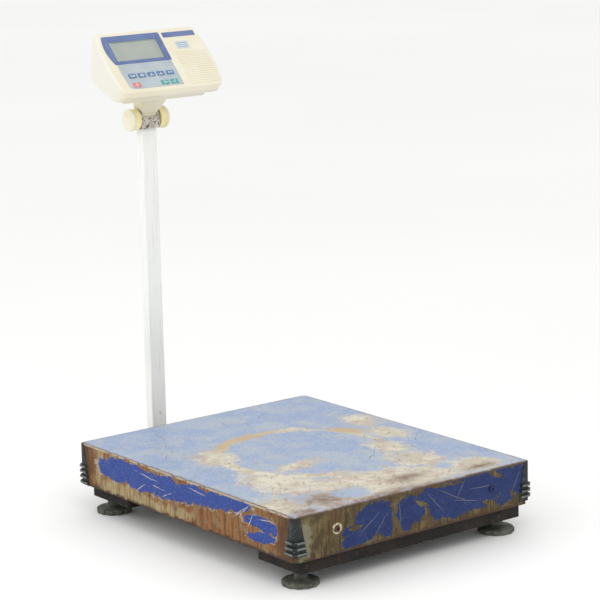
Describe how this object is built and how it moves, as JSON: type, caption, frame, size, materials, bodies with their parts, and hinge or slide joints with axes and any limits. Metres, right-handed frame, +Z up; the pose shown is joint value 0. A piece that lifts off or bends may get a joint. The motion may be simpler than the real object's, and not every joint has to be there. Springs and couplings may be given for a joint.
{
  "type": "bench scale",
  "caption": "Bench scale with a steel platform cover on a load-cell base, levelling feet, and a rear column carrying a tilting keypad indicator.",
  "frame": {"origin": "on the floor under the middle of the overall box", "axes": "+X to the operator's right, +Y away from the operator towards the column, +Z up"},
  "size_m": [0.51, 0.7725, 0.8211],
  "materials": {
    "cover_paint": "worn blue enamel over steel, scratched and rusty at the edges",
    "frame_paint": "dark paint gone brown with rust",
    "arm_paint": "dull grey paint",
    "column_paint": "off-white gloss paint, stained at the foot",
    "zinc_steel": "dull zinc plate",
    "cover_screw_steel": "dark, worn",
    "cell_aluminium": "machined",
    "guard_rubber": "matt, scuffed",
    "foot_plastic": "matt, dusty",
    "yoke_metal": "corroded grey coating",
    "cream_plastic": "satin, yellowed",
    "bezel_blue": "satin print",
    "window_clear": "clear",
    "display_grey": "grey-green liquid crystal",
    "legend_grey": "satin print",
    "title_blue": "satin print",
    "panel_blue": "satin",
    "key_blue": "satin",
    "key_red": "satin",
    "key_green": "satin",
    "board_green": "lacquered board",
    "black_plastic": "matt"
  },
  "bodies": {
    "base": {"front_beam": "frame_paint", "rear_beam": "frame_paint", "base_spine": "frame_paint", "column_arm": "arm_paint", "column_socket": "arm_paint", "socket_bolts": "zinc_steel", "foot_weld_nuts": "zinc_steel", "load_cell": "cell_aluminium", "cell_spacer_lower": "cell_aluminium", "cell_bolts_lower": "zinc_steel", "overload_stops": "zinc_steel", "column": "column_paint", "tilt_yoke": "yoke_metal", "yoke_screws": "zinc_steel", "tilt_axle": "zinc_steel", "load_cell_cable": "black_plastic"},
    "platform": {"platform_cover": "cover_paint", "corner_guard_front_left": "guard_rubber", "corner_guard_front_right": "guard_rubber", "corner_guard_rear_left": "guard_rubber", "corner_guard_rear_right": "guard_rubber", "cover_screws": "cover_screw_steel", "cover_cushions": "guard_rubber", "upper_frame": "frame_paint", "cell_spacer_upper": "cell_aluminium", "cell_bolts_upper": "zinc_steel"},
    "head": {"upper_case": "cream_plastic", "lower_case": "cream_plastic", "tilt_bracket": "cream_plastic", "case_screws": "zinc_steel", "display_bezel": "bezel_blue", "display_window": "window_clear", "display_module": "display_grey", "legend_strip": "legend_grey", "title_strip": "title_blue", "key_panel": "panel_blue", "main_board": "board_green", "board_screws": "zinc_steel", "power_inlet": "black_plastic"},
    "knob_left": {"clamp_knob_left": "cream_plastic"},
    "knob_right": {"clamp_knob_right": "cream_plastic"},
    "key_mode_cap": {"key_mode": "key_blue"},
    "key_print_cap": {"key_print": "key_blue"},
    "key_setpoint_cap": {"key_setpoint": "key_blue"},
    "key_gross_cap": {"key_gross": "key_blue"},
    "key_tare_cap": {"key_tare": "key_blue"},
    "key_power_cap": {"key_power": "key_red"},
    "key_zero_cap": {"key_zero": "key_green"},
    "key_reset_cap": {"key_reset": "key_green"},
    "foot_screw_front_left": {"foot_stud_front_left": "zinc_steel"},
    "foot_base_front_left": {"foot_pad_front_left": "foot_plastic"},
    "foot_screw_front_right": {"foot_stud_front_right": "zinc_steel"},
    "foot_base_front_right": {"foot_pad_front_right": "foot_plastic"},
    "foot_screw_rear_left": {"foot_stud_rear_left": "zinc_steel"},
    "foot_base_rear_left": {"foot_pad_rear_left": "foot_plastic"},
    "foot_screw_rear_right": {"foot_stud_rear_right": "zinc_steel"},
    "foot_base_rear_right": {"foot_pad_rear_right": "foot_plastic"}
  },
  "joints": [
    {"name": "platform_deflection", "type": "slide", "parent": "base", "child": "platform", "axis": [0, 0, -1], "range_m": [0, 0.001], "stiffness_N_per_m": 2900000, "springref_m": -0.00004, "deforming": ["load_cell"]},
    {"name": "head_tilt", "type": "hinge", "parent": "base", "child": "head", "pos_m": [0, 0.364, 0.6615], "axis": [1, 0, 0], "range_deg": [-45, 20]},
    {"name": "knob_left_turn", "type": "hinge", "parent": "base", "child": "knob_left", "pos_m": [0, 0.364, 0.6615], "axis": [-1, 0, 0], "range_deg": [0, 360]},
    {"name": "knob_right_turn", "type": "hinge", "parent": "base", "child": "knob_right", "pos_m": [0, 0.364, 0.6615], "axis": [1, 0, 0], "range_deg": [0, 360]},
    {"name": "press_mode", "type": "slide", "parent": "head", "child": "key_mode_cap", "axis": [0, 0.7314, -0.682], "range_m": [0, 0.0005], "stiffness_N_per_m": 1500},
    {"name": "press_print", "type": "slide", "parent": "head", "child": "key_print_cap", "axis": [0, 0.7314, -0.682], "range_m": [0, 0.0005], "stiffness_N_per_m": 1500},
    {"name": "press_setpoint", "type": "slide", "parent": "head", "child": "key_setpoint_cap", "axis": [0, 0.7314, -0.682], "range_m": [0, 0.0005], "stiffness_N_per_m": 1500},
    {"name": "press_gross", "type": "slide", "parent": "head", "child": "key_gross_cap", "axis": [0, 0.7314, -0.682], "range_m": [0, 0.0005], "stiffness_N_per_m": 1500},
    {"name": "press_tare", "type": "slide", "parent": "head", "child": "key_tare_cap", "axis": [0, 0.7314, -0.682], "range_m": [0, 0.0005], "stiffness_N_per_m": 1500},
    {"name": "press_power", "type": "slide", "parent": "head", "child": "key_power_cap", "axis": [0, 0.7314, -0.682], "range_m": [0, 0.0005], "stiffness_N_per_m": 1500},
    {"name": "press_zero", "type": "slide", "parent": "head", "child": "key_zero_cap", "axis": [0, 0.7314, -0.682], "range_m": [0, 0.0005], "stiffness_N_per_m": 1500},
    {"name": "press_reset", "type": "slide", "parent": "head", "child": "key_reset_cap", "axis": [0, 0.7314, -0.682], "range_m": [0, 0.0005], "stiffness_N_per_m": 1500},
    {"name": "foot_height_front_left", "type": "slide", "parent": "base", "child": "foot_screw_front_left", "axis": [0, 0, -1], "range_m": [-0.006, 0.012]},
    {"name": "foot_turn_front_left", "type": "hinge", "parent": "foot_screw_front_left", "child": "foot_base_front_left", "pos_m": [-0.21, -0.34, 0], "axis": [0, 0, 1], "range_deg": [-1442, 2882]},
    {"name": "foot_height_front_right", "type": "slide", "parent": "base", "child": "foot_screw_front_right", "axis": [0, 0, -1], "range_m": [-0.006, 0.012]},
    {"name": "foot_turn_front_right", "type": "hinge", "parent": "foot_screw_front_right", "child": "foot_base_front_right", "pos_m": [0.21, -0.34, 0], "axis": [0, 0, 1], "range_deg": [-1442, 2882]},
    {"name": "foot_height_rear_left", "type": "slide", "parent": "base", "child": "foot_screw_rear_left", "axis": [0, 0, -1], "range_m": [-0.006, 0.012]},
    {"name": "foot_turn_rear_left", "type": "hinge", "parent": "foot_screw_rear_left", "child": "foot_base_rear_left", "pos_m": [-0.21, 0.196, 0], "axis": [0, 0, 1], "range_deg": [-1442, 2882]},
    {"name": "foot_height_rear_right", "type": "slide", "parent": "base", "child": "foot_screw_rear_right", "axis": [0, 0, -1], "range_m": [-0.006, 0.012]},
    {"name": "foot_turn_rear_right", "type": "hinge", "parent": "foot_screw_rear_right", "child": "foot_base_rear_right", "pos_m": [0.21, 0.196, 0], "axis": [0, 0, 1], "range_deg": [-1442, 2882]}
  ],
  "couplings": [
    {"joint": "foot_turn_front_left", "follows": "foot_height_front_left", "rad_per_m": 4188.8},
    {"joint": "foot_turn_front_right", "follows": "foot_height_front_right", "rad_per_m": 4188.8},
    {"joint": "foot_turn_rear_left", "follows": "foot_height_rear_left", "rad_per_m": 4188.8},
    {"joint": "foot_turn_rear_right", "follows": "foot_height_rear_right", "rad_per_m": 4188.8}
  ]
}
